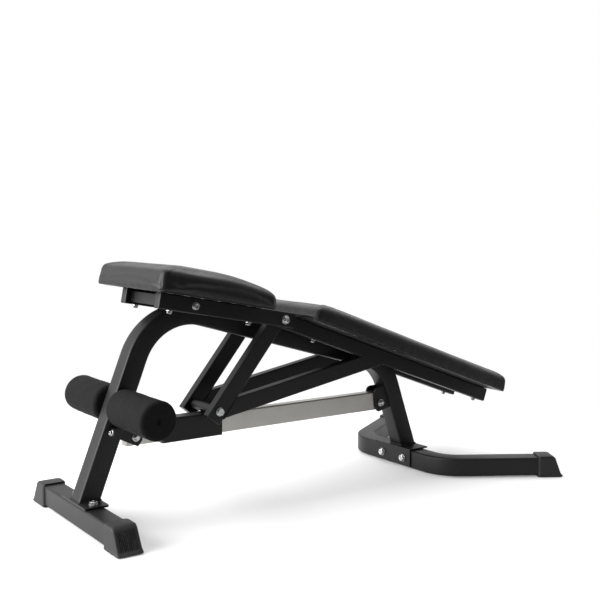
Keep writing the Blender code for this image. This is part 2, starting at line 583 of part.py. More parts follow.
# ---------------------------------------------------------------- back frame
arm_dir2 = (HINGE - L).normalized()
arm_side = Vector((-arm_dir2.y, arm_dir2.x))
ARM2_ANGLE = math.radians(10.0)
arm2_dir = Vector((math.cos(ARM2_ANGLE), math.sin(ARM2_ANGLE)))
under = back_at(0, -BAR_D / 2 - GAP)
under_cut = (tuple(under), tuple(BACK_UP))
arm1_edge = L - arm_side * (ARM_D / 2 + GAP)
for side, s in SIDES:
    y = s * BACK_Y
    ob = bar("back_rail_" + side, tuple(back_at(BACK_RAIL_S[0], 0)), tuple(back_at(BACK_RAIL_S[1] - 3.3, 0)),
             BAR_D, BAR_W, y, "powder_coat", origin=O_BACK)
    drills = [drill(V(HINGE.x, y, HINGE.y), (0, 1, 0), 6.4, 30)]
    for u in SCREW_S:
        p = back_at(u, -BAR_D / 2)
        drills.append(drill(V(p.x, y, p.y), AXIS3(BACK_UP), 3.3, 50, 16))
    cut(ob, drills)
    bar("back_rail_plug_" + side, tuple(back_at(BACK_RAIL_S[1] - 3.0, 0)), tuple(back_at(BACK_RAIL_S[1], 0)),
        BAR_D, BAR_W, y, "moulded_plastic", origin=O_BACK)
    arm1 = bar("hinge_arm_" + side, tuple(L - arm_dir2 * 25.0), tuple(HINGE), ARM_D, BAR_W, y, "powder_coat",
               cut_b=under_cut, origin=O_BACK)
    cut(arm1, [drill(V(L.x, y, L.y), (0, 1, 0), 6.4, 30)])
    bar("brace_arm_" + side, tuple(L + arm2_dir * 10.0), tuple(L + arm2_dir * 500.0), ARM_D, BAR_W, y,
        "powder_coat", cut_a=(tuple(arm1_edge), tuple(arm_side)), cut_b=under_cut, origin=O_BACK)
    face = s * (BACK_Y + BAR_W / 2)
    bolt("link_bolt_" + side, V(L.x, face, L.y), (0, s, 0), BAR_W - 1.0, 10.0, 6.0, O_BACK, washer=11.5)
    for i, u in enumerate(SCREW_S, start=1):
        p = back_at(u, -BAR_D / 2)
        bolt("back_pad_screw_%s_%d" % (side, i), V(p.x, y, p.y), -AXIS3(BACK_UP), BAR_D + 8.0, 6.0, 3.0,
             O_BACK, washer=8.0)
for side, s in SIDES:
    face = s * (SEAT_Y + BAR_W / 2)
    bolt("back_hinge_bolt_" + side, V(HINGE.x, face, HINGE.y), (0, s, 0), SEAT_Y - BACK_Y + BAR_W,
         10.0, 6.0, O_BACK, washer=11.5)
cut(back_board, [bore_down(V(back_at(u, BAR_D / 2).x, s * BACK_Y, back_at(u, BAR_D / 2).y), -AXIS3(BACK_UP),
                           3.3, 9.0, seg=16) for u in SCREW_S for _, s in SIDES])
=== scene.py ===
"""Looks of the adjustable weight bench: stuffed pads, foam rollers, coated tubes, moulded feet, fittings."""
import math

import bpy
import numpy as np
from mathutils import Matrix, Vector

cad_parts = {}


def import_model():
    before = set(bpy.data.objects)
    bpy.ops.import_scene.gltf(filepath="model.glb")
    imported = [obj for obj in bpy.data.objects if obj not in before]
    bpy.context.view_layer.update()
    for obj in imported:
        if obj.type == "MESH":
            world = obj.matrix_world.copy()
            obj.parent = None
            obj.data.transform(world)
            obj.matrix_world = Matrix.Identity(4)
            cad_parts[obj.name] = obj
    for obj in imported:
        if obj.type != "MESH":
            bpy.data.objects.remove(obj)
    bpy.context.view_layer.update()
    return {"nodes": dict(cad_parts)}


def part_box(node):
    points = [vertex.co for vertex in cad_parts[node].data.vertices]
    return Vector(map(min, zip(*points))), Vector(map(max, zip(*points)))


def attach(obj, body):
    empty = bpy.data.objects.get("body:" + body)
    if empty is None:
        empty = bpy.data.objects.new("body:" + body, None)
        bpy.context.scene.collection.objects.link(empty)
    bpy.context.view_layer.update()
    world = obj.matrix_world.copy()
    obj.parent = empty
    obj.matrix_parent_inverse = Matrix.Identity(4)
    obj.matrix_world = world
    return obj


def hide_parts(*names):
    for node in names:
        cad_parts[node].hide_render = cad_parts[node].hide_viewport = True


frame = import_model()
NODES = frame["nodes"]
MM = 0.001
SIDES = (("near", -1.0), ("far", 1.0))


# ---------------------------------------------------------------- shader maths
class Socket:
    """A node's output that adds Math nodes when it is used in an expression."""

    def __init__(self, finish, socket):
        self.finish = finish
        self.socket = socket

    def math(self, operation, first, second=0.0, clamp=False):
        settings = {"operation": operation, "use_clamp": clamp}
        return self.finish.node("ShaderNodeMath", settings, {0: first, 1: second})["Value"]

    def __add__(self, other):
        return self.math("ADD", self, other)

    __radd__ = __add__

    def __mul__(self, other):
        return self.math("MULTIPLY", self, other)

    __rmul__ = __mul__

    def __sub__(self, other):
        return self.math("SUBTRACT", self, other)

    def __rsub__(self, other):
        return self.math("SUBTRACT", other, self)

    def above(self, edge, width):
        """0 below edge, 1 above edge + width, straight between."""
        return self.math("MULTIPLY", self - edge, 1.0 / width, clamp=True)


class Outputs:
    """Looks up a node's outputs by name or number."""

    def __init__(self, finish, node):
        self.finish = finish
        self.made = node

    def __getitem__(self, key):
        return Socket(self.finish, self.made.outputs[key])


class Finish:
    """One material, with its surface shader and the nodes that vary it."""

    def __init__(self, name, **uniform):
        self.material = bpy.data.materials.new(name)
        self.material.use_nodes = True
        self.tree = self.material.node_tree
        self.shader = self.tree.nodes["Principled BSDF"]
        for socket, value in uniform.items():
            self.shader.inputs[socket.replace("_", " ")].default_value = value
        self.place = self.node("ShaderNodeTexCoord", {}, {})["Object"]

    def node(self, kind, settings, inputs):
        made = self.tree.nodes.new(kind)
        for key, value in settings.items():
            setattr(made, key, value)
        for key, value in inputs.items():
            if isinstance(value, Socket):
                self.tree.links.new(value.socket, made.inputs[key])
            else:
                made.inputs[key].default_value = value
        return Outputs(self, made)

    def stretched(self, scale):
        return self.node("ShaderNodeMapping", {}, {"Vector": self.place, "Scale": scale})["Vector"]

    def noise(self, scale, detail=2.0, roughness=0.5, place=None):
        inputs = {"Vector": place or self.place, "Scale": scale, "Detail": detail, "Roughness": roughness}
        made = self.node("ShaderNodeTexNoise", {}, inputs)
        return made["Factor" if "Factor" in made.made.outputs else "Fac"]

    def cells(self, scale, feature="F1", place=None):
        inputs = {"Vector": place or self.place, "Scale": scale}
        return self.node("ShaderNodeTexVoronoi", {"feature": feature}, inputs)["Distance"]

    def tint(self, factor, low, high):
        mixed = self.node("ShaderNodeMix", {"data_type": "RGBA"},
                          {"Factor": factor, 6: tuple(low) + (1.0,), 7: tuple(high) + (1.0,)})
        return Socket(self, mixed.made.outputs[2])

    def bump(self, height, depth, under=None):
        """Bump whose height runs over depth metres."""
        inputs = {"Height": height, "Strength": 1.0, "Distance": depth}
        if under is not None:
            inputs["Normal"] = under
        return self.node("ShaderNodeBump", {}, inputs)["Normal"]

    def feed(self, **links):
        for name, value in links.items():
            self.tree.links.new(value.socket, self.shader.inputs[name.replace("_", " ")])
        return self.material


def powder_coat():
    """Black polyester powder: fine orange peel, faint dust and a few rubbed patches."""
    f = Finish("powder_coat_satin", Metallic=0.0, IOR=1.45, Specular_IOR_Level=0.34)
    tone = 0.0042
    cloud = f.noise(9.0, 4.0, 0.6)
    speck = f.noise(420.0, 2.0, 0.7)
    peel = f.noise(750.0, 1.0, 0.4)
    wave = f.noise(160.0, 1.0, 0.4)
    dust = cloud.above(0.56, 0.2)
    rough = 0.36 + cloud * 0.1 + dust * 0.06 + speck * 0.03
    color = f.tint(dust * 0.5 + speck * 0.3, (tone, tone, tone * 1.04), (tone * 2.1, tone * 2.08, tone * 2.0))
    low = f.bump(wave, 0.00006)
    return f.feed(Base_Color=color, Roughness=rough, Normal=f.bump(peel, 0.00004, low))


def zinc_plate():
    """Bright zinc with a faint warm and cool drift, fine grit and duller stains."""
    f = Finish("zinc_plate_bright", Metallic=1.0)
    drift = f.noise(55.0, 3.0, 0.6)
    grit = f.noise(1500.0, 2.0, 0.6)
    stain = f.noise(210.0, 3.0, 0.6).above(0.6, 0.15)
    color = f.tint(drift, (0.46, 0.46, 0.44), (0.62, 0.63, 0.65))
    return f.feed(Base_Color=color, Roughness=0.2 + drift * 0.12 + stain * 0.16, Normal=f.bump(grit, 0.00002))


def brushed_rail():
    """Satin chromed rail: fine lines along its length, rubbed streaks where the sleeve slides."""
    f = Finish("rail_brushed_chrome", Metallic=1.0)
    lines = f.noise(1.0, 3.0, 0.7, f.stretched((9.0, 1500.0, 1500.0)))
    streak = f.noise(1.0, 3.0, 0.6, f.stretched((2.5, 260.0, 260.0)))
    cloud = f.noise(14.0, 3.0, 0.6)
    rubbed = streak.above(0.56, 0.12)
    color = f.tint(cloud * 0.6 + lines * 0.4, (0.36, 0.345, 0.32), (0.54, 0.525, 0.50))
    rough = 0.24 + lines * 0.12 + rubbed * 0.1 + cloud * 0.06
    return f.feed(Base_Color=color, Roughness=rough, Normal=f.bump(lines, 0.00003))


def vinyl_cover():
    """Black upholstery vinyl: pebbled leather grain about a millimetre across, its creases darkened with
    painted shade, soft folds, a worn sheen.
    """
    f = Finish("vinyl_cover_black", Metallic=0.0, IOR=1.48, Specular_IOR_Level=0.3, Coat_Roughness=0.28)
    bend = f.noise(240.0, 2.0, 0.5)
    push = f.node("ShaderNodeCombineXYZ", {}, {0: bend, 1: bend * 0.7, 2: bend * -0.8})["Vector"]
    pull = f.node("ShaderNodeVectorMath", {"operation": "MULTIPLY_ADD"},
                  {0: push, 1: (0.0012, 0.0012, 0.0012), 2: f.place})["Vector"]
    crease = f.cells(820.0, "DISTANCE_TO_EDGE", pull).above(0.03, 0.22)
    pore = f.noise(2300.0, 1.0, 0.5)
    fold = f.noise(26.0, 2.0, 0.45)
    wear = f.noise(7.0, 4.0, 0.6)
    sheen = wear.above(0.5, 0.25)
    # colour: a random wear tone plus painted shade, darker in the grain's creases where the bump sinks
    color = f.tint(crease * 0.7 + wear * 0.3, (0.0024, 0.0024, 0.0026), (0.0055, 0.0055, 0.0058))
    rough = 0.40 - crease * 0.09 - sheen * 0.06 + fold * 0.06
    soft = f.bump(fold, 0.0011)
    return f.feed(Base_Color=color, Roughness=rough, Coat_Weight=0.05 + sheen * 0.12,
                  Normal=f.bump(crease + pore * 0.25, 0.00009, soft))


def stained_board():
    """Black-stained plywood: long grain, open pores and a paler rub."""
    f = Finish("board_stained", Metallic=0.0)
    grain = f.noise(1.0, 5.0, 0.65, f.stretched((14.0, 330.0, 330.0)))
    rings = f.noise(1.0, 2.0, 0.5, f.stretched((3.0, 40.0, 40.0)))
    rub = f.noise(18.0, 3.0, 0.6).above(0.55, 0.2)
    color = f.tint(grain * 0.6 + rings * 0.3 + rub * 0.2, (0.004, 0.0036, 0.0034), (0.016, 0.014, 0.012))
    return f.feed(Base_Color=color, Roughness=0.62 + grain * 0.2, Normal=f.bump(grain, 0.00018))


def closed_foam():
    """Closed-cell foam: matt skin, pin-sized cells with painted shade in their hollows, and soft handling
    marks.
    """
    f = Finish("foam_closed_cell", Metallic=0.0, IOR=1.4, Specular_IOR_Level=0.2)
    cell = f.cells(900.0)
    pit = f.cells(330.0).above(0.1, 0.22)
    cloud = f.noise(24.0, 4.0, 0.6)
    mark = f.noise(70.0, 3.0, 0.7).above(0.58, 0.15)
    # colour: a random cloud and handling marks, plus painted shade darkening the cells' hollows where the bump
    # sinks
    color = f.tint(cloud * 0.5 + cell * 0.3 + mark * 0.2, (0.0028, 0.0028, 0.0028), (0.0085, 0.0084, 0.0082))
    soft = f.bump(cloud, 0.0006)
    return f.feed(Base_Color=color, Roughness=0.78 + cloud * 0.14 - mark * 0.08,
                  Normal=f.bump(cell * 0.6 + pit * 0.6, 0.00022, soft))


def moulded():
    """Injection-moulded polypropylene: spark-eroded texture, paler scuffs near the floor."""
    f = Finish("foot_moulding", Metallic=0.0, IOR=1.46, Specular_IOR_Level=0.4)
    tone = 0.0055
    spark = f.noise(1150.0, 2.0, 0.6)
    flow = f.noise(30.0, 3.0, 0.5)
    height = f.node("ShaderNodeSeparateXYZ", {}, {0: f.place})["Z"]
    low = 1.0 - height.above(0.004, 0.022)
    scuff = low * f.noise(130.0, 4.0, 0.7).above(0.5, 0.16)
    color = f.tint(scuff * 0.6 + flow * 0.25, (tone, tone, tone * 1.03), (0.040, 0.039, 0.037))
    rough = 0.46 + flow * 0.12 + scuff * 0.15
    return f.feed(Base_Color=color, Roughness=rough, Normal=f.bump(spark, 0.00008))


def studio_floor():
    """Pale painted floor with the faintest mottle, fading out into the white surround."""
    f = Finish("studio_floor", Roughness=0.75)
    mottle = f.noise(1.3, 3.0, 0.5)
    away = f.node("ShaderNodeVectorMath", {"operation": "LENGTH"}, {0: f.place})["Value"]
    fade_start, fade_width, strongest = 0.75, 0.9, 0.75
    solid = (1.0 - away.above(fade_start, fade_width)) * strongest
    return f.feed(Base_Color=f.tint(mottle, (0.88, 0.88, 0.88), (0.93, 0.93, 0.93)), Alpha=solid)


POWDER = powder_coat()
ZINC = zinc_plate()
RAIL = brushed_rail()
VINYL = vinyl_cover()
BOARD = stained_board()
FOAM = closed_foam()
PLASTIC = moulded()
SLOTS = {"powder": POWDER, "zinc": ZINC, "rail_steel": RAIL, "vinyl": VINYL, "plywood": BOARD, "foam": FOAM,
         "plastic": PLASTIC}


# ---------------------------------------------------------------- surfaces
def row(*numbers):
    return np.array(numbers, float)


def mesh_piece(name, points, faces, slot_name, body, sharp=38.0):
    """A closed body, its faces turned outward and its shading smooth but for edges over the sharp angle."""
    points = np.asarray(points, float)
    signed = 0.0
    for group in faces:
        a = points[group[:, 0]]
        for k in range(1, group.shape[1] - 1):
            signed += np.einsum("ij,ij->", a, np.cross(points[group[:, k]], points[group[:, k + 1]]))
    groups = [group[:, ::-1] if signed < 0 else group for group in faces]
    mesh = bpy.data.meshes.new(name)
    mesh.from_pydata(points.tolist(), [], [face for group in groups for face in group.tolist()])
    mesh.validate()
    mesh.materials.append(SLOTS[slot_name])
    mesh.shade_smooth()
    mesh.set_sharp_from_angle(angle=math.radians(sharp))
    piece = bpy.data.objects.new(name, mesh)
    bpy.context.scene.collection.objects.link(piece)
    if body is not None:
        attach(piece, body)
    return piece


def grid_faces(rows, columns, ring, start=0):
    """Quads between rows. Columns always close; rows close too if ring is set, else they end in fans."""
    i = np.arange(rows if ring else rows - 1)[:, None]
    j = np.arange(columns)[None, :]
    right = (j + 1) % columns
    below = ((i + 1) % rows) * columns
    quads = np.stack(np.broadcast_arrays(i * columns + j, i * columns + right, below + right, below + j), -1)
    faces = [quads.reshape(-1, 4) + start]
    if not ring:
        j = np.arange(columns)
        k = (j + 1) % columns
        first = np.full(columns, rows * columns)
        last = (rows - 1) * columns
        fans = np.vstack([np.stack([first, k, j], -1), np.stack([first + 1, last + j, last + k], -1)])
        faces.append(fans + start)
    return faces


def skinned(grids, ring=False):
    """Points and faces of one or several grids[row, column, xyz], each a closed shell."""
    points, faces, start = [], [], 0
    for grid in grids:
        rows, columns = grid.shape[:2]
        flat = grid.reshape(-1, 3)
        if not ring:
            flat = np.vstack([flat, grid[0].mean(0), grid[-1].mean(0)])
        points.append(flat)
        faces += grid_faces(rows, columns, ring, start)
        start += len(flat)
    return np.vstack(points), faces


def basis(axis):
    """Two unit directions square to an axis, and the axis."""
    w = np.asarray(axis, float)
    w = w / np.linalg.norm(w)
    helper = row(0, 0, 1) if abs(w[2]) < 0.9 else row(1, 0, 0)
    u = np.cross(w, helper)
    u /= np.linalg.norm(u)
    return u, np.cross(w, u), w


def turned(base, axis, profile, segments, flutes=(0, 0.0)):
    """Profile of (radius, height) in mm carried round an axis. On rows with a third number the radius is the
    lesser of the row's and a hexagon's with that corner radius. Flutes (count, depth) scale the radius by
    1 - depth * cos(count * angle / 2)^6."""
    u, v, w = basis(axis)
    angle = np.linspace(0, 2 * np.pi, segments, endpoint=False)
    radius = np.array([p[0] for p in profile], float)[:, None] * np.ones(segments)
    turn = np.mod(angle, np.pi / 3) - np.pi / 6
    for i, entry in enumerate(profile):
        if len(entry) == 3:
            radius[i] = np.minimum(radius[i], entry[2] * math.cos(math.pi / 6) / np.cos(turn))
    if flutes[0]:
        radius = radius * (1 - flutes[1] * np.cos(angle * flutes[0] / 2) ** 6)
    height = np.array([p[1] for p in profile], float)[:, None, None]
    ring = np.cos(angle)[None, :, None] * u + np.sin(angle)[None, :, None] * v
    return np.asarray(base, float) + (ring * radius[:, :, None] + height * w) * MM


def round_box(length, width, radius, arc=8, straight=1):
    """Outline (a, b) of a corner-rounded rectangle: quarter arcs joined by straights split in equal steps."""
    t = np.linspace(0, np.pi / 2, arc + 1)
    corners = []
    for k, (sa, sb) in enumerate(((1, 1), (-1, 1), (-1, -1), (1, -1))):
        turn = t + k * np.pi / 2
        corners.append(np.stack([sa * (length / 2 - radius) + radius * np.cos(turn),
                                 sb * (width / 2 - radius) + radius * np.sin(turn)], -1))
    parts = []
    for k in range(4):
        a, b = corners[k][-1], corners[(k + 1) % 4][0]
        between = np.linspace(0, 1, straight + 1)[1:-1, None]
        parts += [corners[k], a + (b - a) * between]
    return np.vstack(parts)


def bent_path(points, radii):
    """Straights joined by tangent arcs of 28 steps each: 2-D points and unit directions along them."""
    points = [np.array(p, float) for p in points]
    place, along = [points[0]], [(points[1] - points[0]) / np.linalg.norm(points[1] - points[0])]
    for k, radius in enumerate(radii, start=1):
        d0 = points[k] - points[k - 1]
        d1 = points[k + 1] - points[k]
        d0, d1 = d0 / np.linalg.norm(d0), d1 / np.linalg.norm(d1)
        turn = math.atan2(d0[0] * d1[1] - d0[1] * d1[0], d0 @ d1)
        side = np.array([-d0[1], d0[0]]) * np.sign(turn)
        centre = points[k] - d0 * radius * math.tan(abs(turn) / 2) + side * radius
        a = np.linspace(0, turn, 29)
        c, s = np.cos(a)[:, None], np.sin(a)[:, None]
        quarter = np.array([-d0[1], d0[0]])
        arm = -side
        arm_turned = np.array([-arm[1], arm[0]])
        place += list(centre + (arm * c + arm_turned * s) * radius)
        along += list(d0 * c + quarter * s)
    place.append(points[-1])
    along.append((points[-1] - points[-2]) / np.linalg.norm(points[-1] - points[-2]))
    return np.array(place), np.array(along)


# ---------------------------------------------------------------- places, read from the fixed frame
def extent(node):
    """The low and high corners of a node's box."""
    low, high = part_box(node)
    return np.array(low, float), np.array(high, float)


def middle(node):
    low, high = extent(node)
    return (low + high) / 2


SEAT_PIVOT = middle("seat_pivot_tube")
HINGE = (middle("back_hinge_bolt_near") + middle("back_hinge_bolt_far")) / 2
LINK = middle("carriage_cross_tube")
ROD = middle("roller_rod")
SEAT_FALL = math.atan2(SEAT_PIVOT[2] - HINGE[2], HINGE[0] - SEAT_PIVOT[0])
BACK_FALL = math.radians(20.2)


class PadFrame:
    """Places in a pad's own frame, in mm: along the rails, across, and up from the rails' centre plane."""

    def __init__(self, origin, fall):
        self.origin = row(origin[0], 0, origin[2])
        self.along = row(math.cos(fall), 0, -math.sin(fall))
        self.up = row(math.sin(fall), 0, math.cos(fall))
        self.across = row(0, 1, 0)

    def at(self, a, b, h):
        a, b, h = (np.asarray(v, float)[..., None] for v in (a, b, h))
        return self.origin + (a * self.along + b * self.across + h * self.up) * MM

    def of(self, points):
        gap = (points - self.origin) / MM
        return gap @ self.along, gap @ self.across, gap @ self.up


SEAT = PadFrame(SEAT_PIVOT, SEAT_FALL)
BACK = PadFrame(HINGE, BACK_FALL)

# ---------------------------------------------------------------- finishes on the fixed frame's own parts
POWDER_NODES = ("rear_base_tube", "rear_base_plate", "main_frame_tube", "front_saddle", "front_base_tube",
                "rear_rail_bracket", "rear_leg_lug", "front_rail_ears", "seat_pivot_tube", "roller_rod",
                "seat_rail_near", "seat_rail_far", "seat_cross_member", "back_rail_near", "back_rail_far",
                "hinge_arm_near", "hinge_arm_far", "brace_arm_near", "brace_arm_far", "carriage_sleeve",
                "carriage_cross_tube")
for node_name, node in NODES.items():
    if node_name in POWDER_NODES:
        coat = POWDER
    elif node_name == "guide_rail":
        coat = RAIL
    elif node_name.endswith("_board"):
        coat = BOARD
    elif node_name.endswith("_cushion"):
        coat = VINYL
    elif node_name.startswith("foam"):
        coat = FOAM
    elif "plug" in node_name or "cap" in node_name or "knob" in node_name:
        coat = PLASTIC
    else:
        coat = ZINC
    if not node.data.materials:
        node.data.materials.append(coat)
    for index in range(len(node.data.materials)):
        node.data.materials[index] = coat


# ---------------------------------------------------------------- upholstered pads
PAD_LOW = 19.5       # height of the covers' underside over the rails' centre plane
COVER_GAP = 0.2      # from the boards' underside to the covers'
BOARD_T = 12.0
BOARD_TOP = 31.3
PAD_CORNER = 18.0    # corner radius seen from above
CLOTH_FRAMES = 20
CLOTH_REACH = 0.003  # the farthest the simulation may move a point, in metres
STAPLE_PITCH = 34.0


def waterfall(h, from_end, fall, thick):
    """Height less the top's fall toward the hinge: drop * t^1.8 over the run, with t from 0 to 1 at the end,
    times the share of the pad's height over the board."""
    drop, run = fall
    t = np.clip(1 - from_end / run, 0, 1)
    return h - drop * t ** 1.8 * np.clip((h - BOARD_TOP) / (thick - BOARD_T), 0, None)


def pad_shell(pad, ends, half, thick, crown, fall, hinge_end, inset):
    """Crowned block: rounded rectangles stepping in and up, each step (inset, height), from the underside's
    edge to the middle of the top."""
    mid, length = sum(ends) / 2, ends[1] - ends[0]
    top = PAD_LOW - COVER_GAP + thick - inset
    steps = [(6.0, PAD_LOW), (1.8, PAD_LOW), (0.4, PAD_LOW + 3), (-0.4, PAD_LOW + 20), (0.4, top - 15),
             (3.2, top - 7.5), (8.5, top - 2.6), (16.0, top), (40.0, top + crown * 0.55),
             (80.0, top + crown * 0.9), (128.0, top + crown)]
    rows = []
    for step, height in steps:
        less = 2 * (step + inset)
        outline = round_box(length - less, 2 * half - less, max(PAD_CORNER - step, 5.0), 6, 40)
        high = waterfall(np.full(len(outline), height), length / 2 - hinge_end * outline[:, 0], fall, thick)
        rows.append(pad.at(mid + outline[:, 0], outline[:, 1], high))
    return skinned([np.array(rows)])


def inflate(piece, pinned):
    """Cloth under pressure 4 with gravity off. Pinned points stay; the others move at most CLOTH_REACH."""
    scene = bpy.context.scene
    start = places(piece)
    group = piece.vertex_groups.new(name="held")
    group.add(np.nonzero(pinned)[0].tolist(), 1.0, "REPLACE")
    cloth = piece.modifiers.new("stuffing", "CLOTH")
    settings = {"quality": 5, "mass": 0.3, "tension_stiffness": 18, "compression_stiffness": 18,
                "bending_stiffness": 0.8, "use_pressure": True, "uniform_pressure_force": 4.0,
                "vertex_group_mass": "held"}
    for key, value in settings.items():
        setattr(cloth.settings, key, value)
    cloth.settings.effector_weights.gravity = 0.0
    cloth.point_cache.frame_start = 1
    cloth.point_cache.frame_end = CLOTH_FRAMES
    for step in range(1, CLOTH_FRAMES + 1):
        scene.frame_set(step)
    made = piece.evaluated_get(bpy.context.evaluated_depsgraph_get())
    shape = made.to_mesh()
    moved = np.empty(len(shape.vertices) * 3)
    shape.vertices.foreach_get("co", moved)
    made.to_mesh_clear()
    shift = moved.reshape(-1, 3) - start
    size = np.linalg.norm(shift, axis=1, keepdims=True)
    shift *= np.minimum(1.0, CLOTH_REACH / np.maximum(size, 1e-9))
    piece.modifiers.clear()
    piece.vertex_groups.clear()
    piece.data.vertices.foreach_set("co", (start + shift).ravel())
    piece.data.update()
    scene.frame_set(1)


def keep_modifiers(piece):
    """The piece's mesh becomes what its modifiers make of it."""
    deps = bpy.context.evaluated_depsgraph_get()
    fresh = bpy.data.meshes.new_from_object(piece.evaluated_get(deps))
    old = piece.data
    piece.modifiers.clear()
    piece.data = fresh
    bpy.data.meshes.remove(old)
    fresh.name = piece.name


def places(piece):
    """The piece's vertex places as an array."""
    co = np.empty(len(piece.data.vertices) * 3)
    piece.data.vertices.foreach_get("co", co)
    return co.reshape(-1, 3)


def cushion(name, node, body, pad, ends, half_width, thick, crown, fall, hinge_end, voxel):
    """Stuffed pad: the crowned block is remeshed and blown up as cloth. Then its sides are drawn in between
    the corners, pleats are folded at the corners and the wrap is pulled in at each staple."""
    points, faces = pad_shell(pad, ends, half_width, thick, crown, fall, hinge_end, 1.6)
    piece = mesh_piece(name, points, faces, "vinyl", None)
    remesh = piece.modifiers.new("even", "REMESH")
    remesh.mode = "VOXEL"
    remesh.voxel_size = voxel
    even = piece.modifiers.new("even_out", "SMOOTH")
    even.factor = 0.5
    even.iterations = 3
    keep_modifiers(piece)
    height = pad.of(places(piece))[2]
    inflate(piece, height < PAD_LOW + 6.0)
    finer = piece.modifiers.new("finer", "SUBSURF")
    finer.levels = finer.render_levels = 1
    keep_modifiers(piece)
    a, b, h = pad.of(places(piece))
    mid, half = sum(ends) / 2, (ends[1] - ends[0]) / 2
    x, y = (a - mid) / half, b / half_width
    lift = np.clip((h - PAD_LOW) / thick, 0, 1)
    waist = np.sin(np.pi * np.clip(lift, 0, 1)) * 0.6 + 0.4
    edge, staple = 22, 38.0
    near_end = np.clip((np.abs(x) * half - (half - edge)) / edge, 0, 1)
    near_side = np.clip((np.abs(y) * half_width - (half_width - edge)) / edge, 0, 1)
    a = a - np.sign(x) * near_end * (1 - y ** 2) * 2.2 * waist
    b = b - np.sign(y) * near_side * (1 - x ** 4) * 1.6 * waist
    low_band = np.exp(-np.clip(h - PAD_LOW, 0, None) / 7.0)
    a = a - np.sign(x) * near_end * low_band * 0.5 * (1 + np.cos(2 * np.pi * b / staple))
    b = b - np.sign(y) * near_side * low_band * 0.5 * (1 + np.cos(2 * np.pi * (a - mid) / staple))
    corner_a = np.abs(a - mid) - (half - PAD_CORNER)
    corner_b = np.abs(b) - (half_width - PAD_CORNER)
    in_corner = (corner_a > 0) & (corner_b > 0)
    turn = np.degrees(np.arctan2(np.clip(corner_b, 0, None), np.clip(corner_a, 0, None)))
    pleat = sum(depth * np.exp(-((turn - at + (h - PAD_LOW) * lean) / 2.6) ** 2)
                for depth, at, lean in ((1.1, 38, 0.10), (0.8, 50, -0.12), (0.5, 62, -0.25)))
    pleat = np.where(in_corner, pleat * np.clip(1.15 - lift, 0, 1), 0.0)
    radial = np.hypot(corner_a, corner_b) + 1e-6
    a = a - np.sign(x) * pleat * corner_a / radial
    b = b - np.sign(y) * pleat * corner_b / radial
    drawn = 0.35 * np.sin(a * 0.043 + 1.3 * np.sin(b * 0.021)) * np.sin(b * 0.037 + 0.6)
    drawn = drawn * np.clip(lift * 2 - 1, 0, 1)
    h = np.where(h < PAD_LOW + 1.2, PAD_LOW, h + drawn)
    piece.data.vertices.foreach_set("co", pad.at(a, b, h).ravel())
    piece.data.update()
    piece.data.shade_smooth()
    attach(piece, body)
    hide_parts(node)


def wrap_margin(name, body, pad, ends, half):
    """Vinyl turned under the board: a flat band about 26 mm wide whose cut inner edge wanders."""
    mid, length = sum(ends) / 2, ends[1] - ends[0]
    outer = round_box(length - 9, 2 * half - 9, 14.0, 10, 60)
    inner = round_box(length - 60, 2 * half - 60, 8.0, 10, 60)
    walk = np.arange(len(inner))
    wander = 1.6 * np.sin(walk * 0.41) + 1.1 * np.sin(walk * 0.93 + 1.0)
    inner = inner + np.sign(inner) * wander[:, None]
    ripple = 0.25 * np.sin(walk * 0.62)
    band = [(outer, PAD_LOW + 0.4), (outer * 0.998, PAD_LOW - 0.6),
            (inner, PAD_LOW - 0.75), (inner, PAD_LOW - 0.1)]
    rows = [pad.at(mid + line[:, 0], line[:, 1], height + ripple * 0.3) for line, height in band]
    points, faces = skinned([np.array(rows)], ring=True)
    mesh_piece(name, points, faces, "vinyl", body, 60.0)


def staples(name, body, pad, ends, half):
    """Wire staples along the turned-under margin: flattened bars 11 mm long, about STAPLE_PITCH apart."""
    mid, length = sum(ends) / 2, ends[1] - ends[0]
    count_a = int((length - 70) / STAPLE_PITCH)
    count_b = int((2 * half - 70) / STAPLE_PITCH)
    spots = []
    for side in (-1, 1):
        spots += [(x, side * (half - 16), 0.12 * ((k * 7) % 5 - 2)) for k, x in
                  enumerate(np.linspace(-length / 2 + 35, length / 2 - 35, count_a))]
        spots += [(side * (length / 2 - 16), y, 1.57 + 0.1 * ((k * 5) % 5 - 2)) for k, y in
                  enumerate(np.linspace(-half + 35, half - 35, count_b))]
    angle = np.linspace(0, 2 * np.pi, 6, endpoint=False)
    step = row(-5.6, -5.2, 5.2, 5.6)
    lift = row(0.3, -1.25, -1.25, 0.3)
    thick = 0.42
    grids = []
    for a0, b0, turn in spots:
        centre_a = mid + a0 + step * math.cos(turn)
        centre_b = b0 + step * math.sin(turn)
        grid_a = centre_a[:, None] - math.sin(turn) * np.cos(angle) * thick
        grid_b = centre_b[:, None] + math.cos(turn) * np.cos(angle) * thick
        grid_h = PAD_LOW + lift[:, None] + np.sin(angle)[None, :] * thick * 0.7
        grids.append(pad.at(grid_a, grid_b, np.broadcast_to(grid_h, grid_a.shape)))
    points, faces = skinned(grids)
    mesh_piece(name, points, faces, "zinc", body, 60.0)


